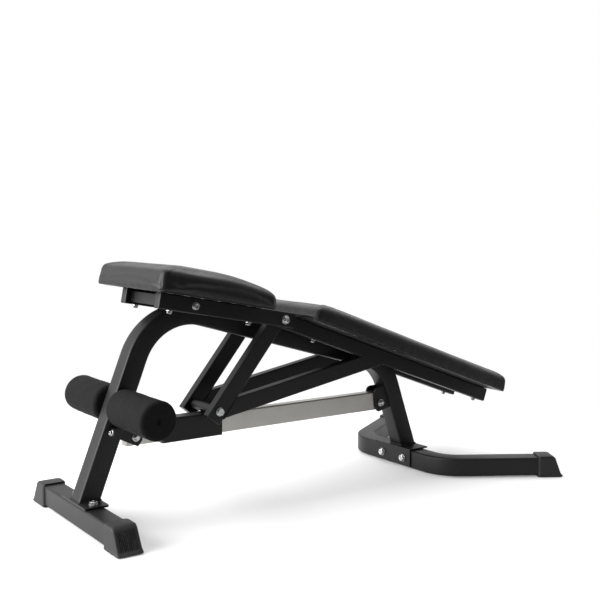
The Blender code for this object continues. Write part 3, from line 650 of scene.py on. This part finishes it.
SEAT_ENDS, SEAT_HALF = (-135.0, 184.0), 177.0
BACK_ENDS, BACK_HALF = (44.0, 781.0), 160.0
cushion("seat_cushion_cover", "seat_cushion", "seat", SEAT, SEAT_ENDS, SEAT_HALF,
        thick=56.0, crown=10.0, fall=(20.0, 150.0), hinge_end=1, voxel=0.005)
cushion("back_cushion_cover", "back_cushion", "back", BACK, BACK_ENDS, BACK_HALF,
        thick=46.0, crown=6.0, fall=(10.0, 70.0), hinge_end=-1, voxel=0.006)
PADS = (("seat", SEAT, SEAT_ENDS, SEAT_HALF), ("back", BACK, BACK_ENDS, BACK_HALF))
for part, *shape in PADS:
    wrap_margin(part + "_wrap_margin", part, *shape)
for part, *shape in PADS:
    staples(part + "_staples", part, *shape)


# ---------------------------------------------------------------- foam rollers
ROLLER_R = 44.5
ROLLER_Y = (31.0, 217.0)    # its ends, from the middle of the bench


def roller(side, s):
    """Foam sleeve turned about the rod, with rounded shoulders and a dimple in its dished outer end. Its
    radius waves by a few tenths of a millimetre round and along."""
    r, (y0, y1) = ROLLER_R, ROLLER_Y
    shoulder = np.linspace(0, np.pi / 2, 9)
    profile = [(0.3, 206.6), (12.7, 206.4), (12.7, y0 + 0.2), (14.0, y0), (34.0, y0)]
    profile += [(r - 10 + 10 * math.sin(t), y0 + 10 - 10 * math.cos(t)) for t in shoulder]
    profile += [(r, y) for y in np.linspace(y0 + 14, y1 - 16, 22)]
    profile += [(r - 9 + 9 * math.cos(t), y1 - 9 + 9 * math.sin(t)) for t in shoulder]
    profile += [(26.0, y1 - 0.3), (18.0, y1 - 0.9), (11.0, y1 - 1.6), (8.0, y1 - 2.4), (6.6, y1 - 3.6),
                (5.9, y1 - 5.2), (3.0, y1 - 6.0), (0.3, y1 - 6.1)]
    grid = turned(ROD, (0, s, 0), profile, 96)
    gap = (grid - ROD) / MM
    angle = np.arctan2(gap[..., 2], gap[..., 0])
    reach = np.hypot(gap[..., 0], gap[..., 2])
    along = np.abs(gap[..., 1])
    wave = 0.28 * np.sin(3 * angle + along * 0.05) + 0.2 * np.sin(5 * angle - along * 0.11 + 1.0)
    wave = wave + 0.16 * np.sin(along * 0.21 + 2 * angle) - 0.2
    scale = np.where(reach > 30, 1 + wave / np.maximum(reach, 1.0), 1.0)
    gap[..., 0] *= scale
    gap[..., 2] *= scale
    points, faces = skinned([ROD + gap * MM])
    piece = mesh_piece("roller_foam_" + side, points, faces, "foam", "roller_" + side, 55.0)
    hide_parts("foam_roller_" + side)


for side, s in SIDES:
    roller(side, s)


# ---------------------------------------------------------------- bent tubes
TUBE = 50.0
BASE_Z = 4.0                     # underside of the front base tube
MID_X = 636.47                   # from the rear base's outer face to the middle of the bench
FRAME_LINE = [(33.1, 64.3), (203.8, 502.4), (911.0, 302.6), (995.5, 63.5)]
FRAME_BENDS = [145.0, 132.0]
FOOT_R, FOOT_F = 0.0596, 0.0586  # heights of the main tube's cut ends, in metres
SPLAY = math.radians(32.0)
FRONT_CORNER = (987.0, 173.4)
FRONT_BEND, FRONT_ARM = 100.0, 286.0


def world(x, y, z):
    """Side-plane mm (from the rear base's outer face, and from the floor) to metres."""
    return np.stack(np.broadcast_arrays((np.asarray(x, float) - MID_X) * MM, np.asarray(y, float) * MM,
                                        np.asarray(z, float) * MM), -1)


def flat_cut(points, along, height):
    """Slide points along a direction to a height."""
    return points + along * ((height - points[:, 2]) / along[2])[:, None]


def main_tube():
    """Square tube bent twice in the side plane. On the bends the outer face flattens, the inner part widens."""
    path, along = bent_path(FRAME_LINE, FRAME_BENDS)
    section = round_box(TUBE, TUBE, 5.0, 6, 2)
    spin = np.gradient(np.unwrap(np.arctan2(along[:, 1], along[:, 0])))
    bend = np.clip(np.abs(spin) * 40, 0, 1)
    side = np.stack([-along[:, 1], along[:, 0]], -1)
    a = section[None, :, 0] * (1 - 0.018 * bend[:, None] * (section[None, :, 0] > 0))
    b = section[None, :, 1] * (1 + 0.022 * bend[:, None] * (section[None, :, 0] < -10))
    x = path[:, None, 0] + side[:, None, 0] * a
    z = path[:, None, 1] + side[:, None, 1] * a
    grid = world(x, np.broadcast_to(b, x.shape), z)
    grid[0] = flat_cut(grid[0], row(along[0][0], 0, along[0][1]), FOOT_R)
    grid[-1] = flat_cut(grid[-1], row(along[-1][0], 0, along[-1][1]), FOOT_F)
    points, faces = skinned([grid])
    piece = mesh_piece("main_frame_bent_tube", points, faces, "powder", "frame", 30.0)
    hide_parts("main_frame_tube")


def front_tube():
    """Square tube bent twice in plan, its two arms splayed 32 degrees forward."""
    reach = np.array([math.cos(SPLAY), math.sin(SPLAY)]) * FRONT_ARM
    far = np.array(FRONT_CORNER)
    near = far * (1, -1)
    path, along = bent_path([near + reach * (1, -1), near, far, far + reach], [FRONT_BEND, FRONT_BEND])
    section = round_box(TUBE, TUBE, 5.0, 6, 2)
    side = np.stack([-along[:, 1], along[:, 0]], -1)
    x = path[:, None, 0] + side[:, None, 0] * section[None, :, 0]
    y = path[:, None, 1] + side[:, None, 1] * section[None, :, 0]
    z = np.broadcast_to(BASE_Z + TUBE / 2 + section[None, :, 1], x.shape)
    points, faces = skinned([world(x, y, z)])
    piece = mesh_piece("front_base_bent_tube", points, faces, "powder", "frame", 30.0)
    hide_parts("front_base_tube")


main_tube()
front_tube()


# ---------------------------------------------------------------- moulded feet
RIB_PITCH = 4.1


def foot(name, node, centre, direction, start, top_len, bottom_len):
    """Foot moulding: rounded rectangles whose outer end leans out toward the floor. Inside a framed window
    the end face is let in by 0.4 mm plus 2.3 mm * (1 - rib wave), which leaves upright ribs."""
    d = np.array([direction[0], direction[1], 0.0])
    d /= np.linalg.norm(d)
    n = row(-d[1], d[0], 0)
    heights = np.concatenate([row(0.0, 0.8, 3.0, 6.0), np.linspace(8.0, 46.0, 30),
                              row(49.0, 52.0, 55.0, 57.0, 58.0)])
    width = np.interp(heights, row(0, 3, 10, 52, 57, 58), row(56, 62, 60, 58, 56, 52))
    length = np.interp(heights, row(0, 3, 10, 52, 57, 58),
                       row(bottom_len - 4, bottom_len, bottom_len - 6, top_len + 6, top_len, top_len - 4))
    rows = []
    for z, w, l in zip(heights, width, length):
        outline = round_box(l, w, 6.5, 6, 110)
        along, across = outline[:, 0], outline[:, 1]
        out = l / 2 - along
        window = np.clip((w / 2 - 8.5 - np.abs(across)) / 1.2, 0, 1) * np.clip((z - 7.5) / 1.6, 0, 1)
        window = window * np.clip((48.5 - z) / 1.6, 0, 1) * (out < 1.0)
        rib = 0.5 + 0.5 * np.cos(2 * np.pi * across / RIB_PITCH)
        along = along - window * (0.4 + 2.3 * (1 - np.clip(rib * 1.7 - 0.3, 0, 1)))
        flat = np.asarray(centre) + (n * across[:, None] + d * (start + l / 2 + along)[:, None]) * MM
        rows.append(flat + row(0, 0, z * MM))
    points, faces = skinned([np.array(rows)])
    piece = mesh_piece(name, points, faces, "plastic", "frame", 42.0)
    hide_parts(node)


for side, s in SIDES:
    foot("rear_foot_" + side, "rear_foot_cap_" + side, world(25.0, 0, 0), (0, s), 178.0, 42.0, 76.0)
    foot("front_foot_" + side, "front_foot_cap_" + side, world(FRONT_CORNER[0], s * FRONT_CORNER[1], 0),
         (math.cos(SPLAY), s * math.sin(SPLAY)), 259.0, 42.0, 69.0)


# ---------------------------------------------------------------- bolts, nuts and plugs
def head_rows(head, washer, start):
    """Washer and chamfered hex head as (radius, height, hexagon corner radius) rows."""
    flat = head * 0.866
    return [(washer - 0.5, start), (washer, start + 0.35), (washer, start + 1.3), (washer - 0.4, start + 1.6),
            (head * 0.955, start + 1.6, head), (head, start + 2.1, head), (head, start + 5.9, head),
            (head * 0.93, start + 6.8, head), (flat * 0.94, start + 7.3), (flat * 0.5, start + 7.3),
            (flat * 0.42, start + 6.9), (0.2, start + 6.8)]


def fastener(name, node, body, base, axis, rows):
    points, faces = skinned([turned(base, axis, rows, 60)])
    piece = mesh_piece(name, points, faces, "zinc", body, 25.0)
    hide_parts(node)


HEAD_OUT = 8.2       # how far a head or the start of a nut lies back from the bolt's outer end
NUT_END = 8.9        # the same for each end of a through bolt


def shank_rows(shank, length):
    tip = HEAD_OUT - length
    return [(0.2, tip), (shank - 0.6, tip), (shank, tip + 1.0), (shank, 0.3)]


def hex_bolt(name, node, body, axis, head, washer, shank):
    """Hex bolt on a washer, its shank running back along the axis."""
    low, high = extent(node)
    axis = np.asarray(axis, float)
    length = abs((high - low) @ axis) / MM
    tip = (low + high) / 2 + axis * length / 2 * MM
    rows = shank_rows(shank, length) + head_rows(head, washer, 0.3)
    fastener(name, node, body, tip - axis * HEAD_OUT * MM, axis, rows)


def nut_rows(head, washer, start, thread):
    """Washer, chamfered hex nut, its round locking collar and the bolt's end standing out of it."""
    flat = head * 0.866
    return [(washer - 0.5, start), (washer, start + 0.35), (washer, start + 1.3), (washer - 0.4, start + 1.6),
            (head * 0.95, start + 1.6, head), (head, start + 2.1, head), (head, start + 5.2, head),
            (head * 0.92, start + 6.0, head), (flat * 0.97, start + 6.2), (flat * 0.93, start + 7.4),
            (flat * 0.8, start + 7.9), (thread + 0.5, start + 7.6), (thread, start + 7.4),
            (thread, start + 9.2), (thread - 0.8, start + 10.0), (0.2, start + 10.0)]


def hinge_nut(name, node, body, s, head, shank):
    """Hinge axle with a lock nut and its thread end standing out on the side it faces."""
    low, high = extent(node)
    centre = (low + high) / 2
    face = row(centre[0], high[1] if s > 0 else low[1], centre[2]) - row(0, s * HEAD_OUT * MM, 0)
    rows = shank_rows(shank, (high[1] - low[1]) / MM) + nut_rows(head, head + 1.8, 0.3, shank - 0.4)
    fastener(name, node, body, face, (0, s, 0), rows)


def through_bolt(name, node, body, head, shank):
    """Bolt across the bench: hex head on the far side, lock nut and thread end on the near side."""
    low, high = extent(node)
    half = (high[1] - low[1]) / 2 / MM - NUT_END
    washer = head + 1.6
    far = [(r[0], -r[1]) + tuple(r[2:]) for r in reversed(head_rows(head, washer, half))]
    rows = far + [(shank, -half + 0.1), (shank, half - 0.1)] + nut_rows(head, washer, half, shank)
    fastener(name, node, body, (low + high) / 2, (0, -1, 0), rows)


for side, s in SIDES:
    hex_bolt("rear_base_screw_" + side, "rear_base_bolt_" + side, "frame", (0, 0, 1), 9.5, 10.5, 4.6)
    hex_bolt("saddle_screw_" + side, "front_saddle_bolt_" + side, "frame", (-1, 0, 0), 9.5, 10.5, 4.6)
    hex_bolt("seat_pivot_screw_" + side, "seat_pivot_bolt_" + side, "seat", (0, s, 0), 8.6, 9.6, 6.0)
    hex_bolt("link_screw_" + side, "link_bolt_" + side, "back", (0, s, 0), 9.2, 10.4, 6.0)
    hinge_nut("hinge_axle_" + side, "back_hinge_bolt_" + side, "back", s, 9.4, 6.0)
hex_bolt("leg_lug_screw", "rear_leg_bolt", "frame", (-1, 0, 0), 6.4, 7.0, 3.6)
through_bolt("rear_rail_axle_bolt", "rear_rail_bolt", "frame", 8.5, 5.0)
through_bolt("front_rail_axle_bolt", "front_rail_bolt", "frame", 8.5, 5.0)


RAIL_D, RAIL_W = 38.0, 25.0     # what the plugs cover of a pad rail's end


def tube_plug(name, node, body, pad, end, out):
    """Domed plastic insert in a rail's end: rounded rectangles stepping in as they stand out."""
    low, high = extent(node)
    y = (low[1] + high[1]) / 2 / MM
    rows = []
    for inset, height in ((1.2, -2.0), (1.2, 0.0), (0.3, 0.1), (0.0, 0.5), (0.0, 1.6), (0.5, 2.5), (1.6, 3.0),
                          (4.5, 3.4), (8.0, 3.5)):
        outline = round_box(RAIL_D - 2 * inset, RAIL_W - 2 * inset, max(3.0 - inset * 0.3, 1.2), 6, 3)
        rows.append(pad.at(np.full(len(outline), end + out * height), y + outline[:, 1], outline[:, 0]))
    points, faces = skinned([np.array(rows)])
    piece = mesh_piece(name, points, faces, "plastic", body, 35.0)
    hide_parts(node)


for side, s in SIDES:
    tube_plug("seat_rail_insert_" + side, "seat_rail_plug_" + side, "seat", SEAT, -89.9, -1.0)
    tube_plug("back_rail_insert_" + side, "back_rail_plug_" + side, "back", BACK, 783.7, 1.0)


def knob():
    """Fluted pull knob: a waisted profile turned about the pin with eight finger flutes."""
    low, high = extent("pin_knob")
    centre = (low + high) / 2
    base = row(centre[0], low[1], centre[2])
    profile = [(0.3, 0.0), (10.0, 0.0), (11.5, 0.6), (13.5, 2.4), (15.2, 5.0), (16.0, 8.5), (15.4, 12.0),
               (14.3, 15.5), (14.2, 18.5), (15.3, 21.5), (14.8, 24.0), (12.4, 26.6), (8.0, 28.0), (0.3, 28.2)]
    points, faces = skinned([turned(base, (0, 1, 0), profile, 96, flutes=(8, 0.07))])
    piece = mesh_piece("pull_knob_fluted", points, faces, "plastic", "pull_pin", 40.0)
    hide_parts("pin_knob")


knob()


# ---------------------------------------------------------------- welds
def bead(loop, radius):
    """Weld bead: a circle carried along a closed loop of points, its radius rippled every 2.4 mm."""
    loop = np.asarray(loop, float)
    step = np.linalg.norm(np.roll(loop, -1, 0) - loop, axis=1) / MM
    walk = np.concatenate([[0.0], np.cumsum(step)])
    count = max(24, int(walk[-1] / 0.8))
    s = np.linspace(0, walk[-1], count, endpoint=False)
    closed_loop = np.vstack([loop, loop[:1]])
    path = np.stack([np.interp(s, walk, closed_loop[:, k]) for k in range(3)], -1)
    along = np.roll(path, -1, 0) - np.roll(path, 1, 0)
    along /= np.maximum(np.linalg.norm(along, axis=1, keepdims=True), 1e-12)
    out = path - path.mean(0)
    out -= along * np.einsum("ij,ij->i", out, along)[:, None]
    out /= np.maximum(np.linalg.norm(out, axis=1, keepdims=True), 1e-12)
    up = np.cross(along, out)
    angle = np.linspace(0, 2 * np.pi, 8, endpoint=False)
    size = radius * (1 + 0.13 * np.sin(2 * np.pi * s / 2.4))
    offset = out[:, None, :] * np.cos(angle)[None, :, None] + up[:, None, :] * np.sin(angle)[None, :, None]
    return path[:, None, :] + offset * size[:, None, None] * MM


def cut_loop(point, direction, depth, width, plane_point, plane_normal):
    """Where a rectangular bar meets a plane: its outline, grown by 0.6 mm and slid along the bar to it."""
    direction = np.asarray(direction, float) / np.linalg.norm(direction)
    side = np.cross(direction, row(0, 1, 0))
    outline = round_box(depth + 0.6, width + 0.6, 3.0, 4, 8)
    start = np.asarray(point) + (outline[:, :1] * side + outline[:, 1:] * row(0, 1, 0)) * MM
    normal = np.asarray(plane_normal, float)
    return start + direction * (((np.asarray(plane_point) - start) @ normal) / (direction @ normal))[:, None]


def circle(centre, axis, radius):
    u, v, _ = basis(axis)
    t = np.linspace(0, 2 * np.pi, 64, endpoint=False)[:, None]
    return np.asarray(centre) + (np.cos(t) * u + np.sin(t) * v) * radius * MM


def welds(name, body, beads):
    points, faces = skinned(beads, ring=True)
    mesh_piece(name, points, faces, "powder", body, 70.0)


def leg_bead(end, corner, height):
    """Bead round the foot of a leg of the main tube, where it stands on its plate."""
    way = row(corner[0] - end[0], 0, corner[1] - end[1])
    return bead(cut_loop(world(end[0], 0, end[1]), way, TUBE, TUBE, world(0, 0, height), (0, 0, 1)), 2.0)


PIVOT_Y = 25.2                  # where the seat pivot tube comes out of the main tube
ARM_D, ARM_W, ARM_Y = 41.0, 25.0, 62.5
BACK_UNDER = -19.2              # underside of the back rails
CROSS_U, CROSS_Y = -61.5, 76.1  # ends of the seat cross member
CROSS_D, CROSS_W = 27.6, 26.6

frame_beads = [leg_bead(FRAME_LINE[0], FRAME_LINE[1], 59.6), leg_bead(FRAME_LINE[3], FRAME_LINE[2], 58.7)]
frame_beads += [bead(circle(SEAT_PIVOT + row(0, s * PIVOT_Y * MM, 0), (0, 1, 0), 14.6), 1.8)
                for _, s in SIDES]
welds("frame_weld_beads", "frame", frame_beads)

arm_way = (HINGE - LINK) / np.linalg.norm(HINGE - LINK)
brace_way = row(math.cos(math.radians(10)), 0, math.sin(math.radians(10)))
arm_square = np.cross(arm_way, row(0, 1, 0))
arm_face = LINK - arm_square * 20.8 * MM
under_back = BACK.at(0, 0, BACK_UNDER)
back_beads = []
for _, s in SIDES:
    foot_point = LINK + row(0, s * ARM_Y * MM, 0)
    for way, point, normal in ((arm_way, under_back, BACK.up), (brace_way, under_back, BACK.up),
                               (brace_way, arm_face, arm_square)):
        back_beads.append(bead(cut_loop(foot_point, way, ARM_D, ARM_W, point, normal), 1.6))
welds("back_weld_beads", "back", back_beads)
cross_outline = round_box(CROSS_D, CROSS_W, 3.0, 4, 8)
seat_beads = [bead(SEAT.at(CROSS_U + cross_outline[:, 0], s * CROSS_Y, cross_outline[:, 1]), 1.5)
              for _, s in SIDES]
welds("seat_weld_beads", "seat", seat_beads)

# ---------------------------------------------------------------- studio
def slab(name, size, z, material):
    mesh = bpy.data.meshes.new(name)
    corners = [(-size, -size, z), (size, -size, z), (size, size, z), (-size, size, z)]
    mesh.from_pydata(corners, [], [(0, 1, 2, 3)])
    mesh.materials.append(material)
    piece = bpy.data.objects.new(name, mesh)
    bpy.context.scene.collection.objects.link(piece)


slab("studio_floor", 30.0, -0.0004, studio_floor())


def softbox(name, place, target, size, power):
    light = bpy.data.lights.new(name, "AREA")
    light.shape = "RECTANGLE"
    light.size, light.size_y = size
    light.energy = power
    holder = bpy.data.objects.new(name, light)
    holder.location = place
    holder.rotation_euler = (Vector(target) - Vector(place)).to_track_quat("-Z", "Y").to_euler()
    bpy.context.scene.collection.objects.link(holder)


softbox("left_box", (-3.0, 0.5, 1.2), (0.0, 0.0, 0.3), (3.2, 2.2), 190.0)
softbox("top_box", (0.2, 0.9, 3.2), (0.0, 0.0, 0.3), (3.2, 2.6), 80.0)

world_light = bpy.data.worlds.new("studio")
world_light.use_nodes = True
tree = world_light.node_tree
sky_place = tree.nodes.new("ShaderNodeTexCoord")
sky_turn = tree.nodes.new("ShaderNodeVectorMath")
sky_turn.operation = "DOT_PRODUCT"
sky_turn.inputs[1].default_value = (0.2, 0.95, 0.25)
sky_ramp = tree.nodes.new("ShaderNodeMapRange")
sky_ramp.interpolation_type = "SMOOTHSTEP"
for socket, value in (("From Min", -0.75), ("From Max", 0.35), ("To Min", 0.13), ("To Max", 1.0)):
    sky_ramp.inputs[socket].default_value = value
tree.links.new(sky_place.outputs["Generated"], sky_turn.inputs[0])
tree.links.new(sky_turn.outputs["Value"], sky_ramp.inputs["Value"])
tree.links.new(sky_ramp.outputs["Result"], tree.nodes["Background"].inputs["Strength"])
tree.nodes["Background"].inputs["Color"].default_value = (1.0, 1.0, 1.0, 1.0)
scene = bpy.context.scene
scene.world = world_light
scene.view_settings.view_transform = "Standard"

# ---------------------------------------------------------------- camera
CAMERA_PLACE = (-1.42267, -2.0007, 0.6914)
CAMERA_TURN, CAMERA_DIP = math.radians(35.361), math.radians(4.723)
camera_data = bpy.data.cameras.new("camera")
camera_data.sensor_width = 36.0
camera_data.lens = 56.26
camera = bpy.data.objects.new("camera", camera_data)
camera.location = CAMERA_PLACE
look = Vector((math.sin(CAMERA_TURN) * math.cos(CAMERA_DIP), math.cos(CAMERA_TURN) * math.cos(CAMERA_DIP),
               -math.sin(CAMERA_DIP)))
camera.rotation_euler = look.to_track_quat("-Z", "Y").to_euler()
scene.collection.objects.link(camera)
scene.camera = camera
